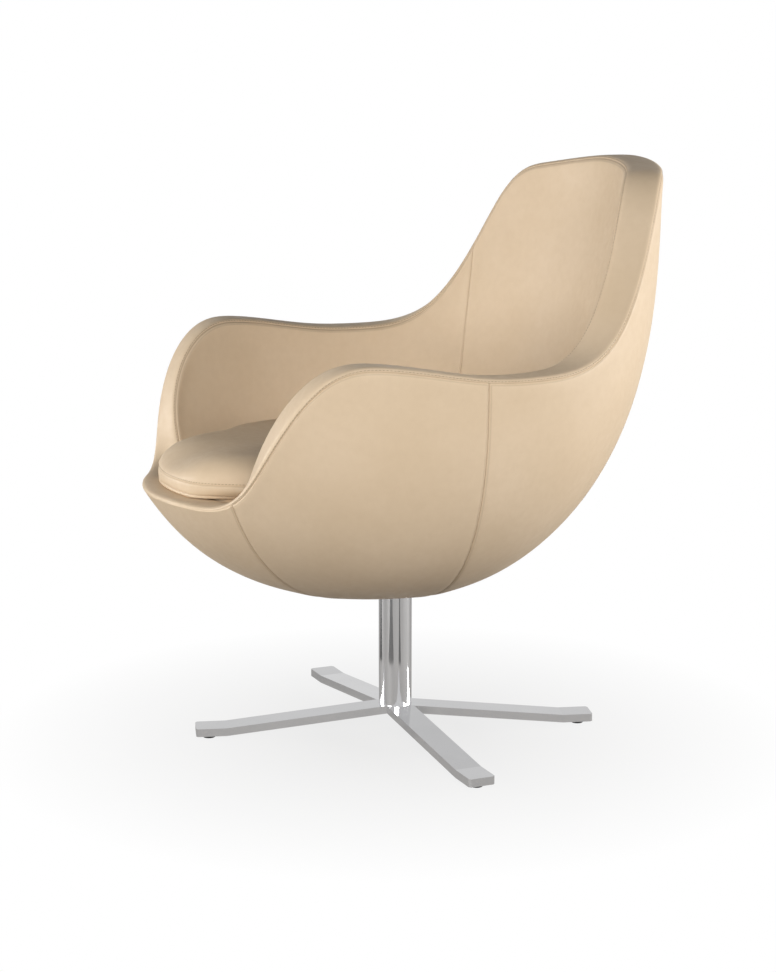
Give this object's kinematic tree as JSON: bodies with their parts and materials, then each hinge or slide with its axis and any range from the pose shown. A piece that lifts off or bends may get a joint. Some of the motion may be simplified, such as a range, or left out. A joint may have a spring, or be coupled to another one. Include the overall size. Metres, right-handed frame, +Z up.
{
  "type": "swivel egg armchair",
  "caption": "Swivel tub armchair: leather egg-shaped shell with a wide padded rim and loose seat cushion, on a chrome column with a flat-bar cross base.",
  "frame": {"origin": "on the floor under the swivel axis, in the middle of the base, within 7 mm of the middle of the bounding box", "axes": "+Z up along the swivel axis; the sitter looks towards -Y, so the back of the chair is at +Y; the sitter's left arm is at +X"},
  "size_m": [0.7034, 0.768, 0.8637],
  "materials": {
    "leather": "cream leather with a fine pebbled grain, double stitched along the rim and the side seams",
    "chrome": "polished chrome plate",
    "foam": "cold-cured upholstery foam",
    "moulding": "glass-fibre moulding, raw",
    "steel": "plain steel",
    "bush_nylon": "black nylon",
    "glide_plastic": "black plastic",
    "zip_tape": "beige zip tape"
  },
  "bodies": {
    "base": {"leg_1": "chrome", "leg_2": "chrome", "leg_3": "chrome", "leg_4": "chrome", "hub": "chrome", "column_tube": "chrome", "glide_1": "glide_plastic", "glide_2": "glide_plastic", "glide_3": "glide_plastic", "glide_4": "glide_plastic", "lower_bush": "bush_nylon", "upper_bush": "bush_nylon", "thrust_washer": "bush_nylon"},
    "seat_shell": {"spindle": "steel", "retaining_washer": "steel", "retaining_bolt": "steel", "mount_plate": "steel", "mount_bolts": "steel", "mount_nuts": "steel", "moulded_shell": "moulding", "deck_plug": "moulding", "outer_back_cover": "leather", "outer_left_cover": "leather", "outer_right_cover": "leather", "outer_front_cover": "leather", "inner_back_cover": "leather", "inner_left_cover": "leather", "inner_right_cover": "leather", "seat_deck_cover": "leather", "rim_band": "leather", "outer_back_foam": "foam", "outer_left_foam": "foam", "outer_right_foam": "foam", "outer_front_foam": "foam", "back_foam": "foam", "left_arm_foam": "foam", "right_arm_foam": "foam", "seat_foam": "foam"},
    "seat_cushion": {"cushion_foam": "foam", "cushion_top_cover": "leather", "cushion_border": "leather", "cushion_bottom_cover": "leather", "cushion_zip": "zip_tape"}
  },
  "joints": [
    {"name": "swivel", "type": "hinge", "parent": "base", "child": "seat_shell", "pos_m": [0, 0, 0.15], "axis": [0, 0, 1], "continuous": true},
    {"name": "cushion_lift", "type": "slide", "parent": "seat_shell", "child": "seat_cushion", "axis": [0, 0, 1], "range_m": [0, 0.3]}
  ]
}
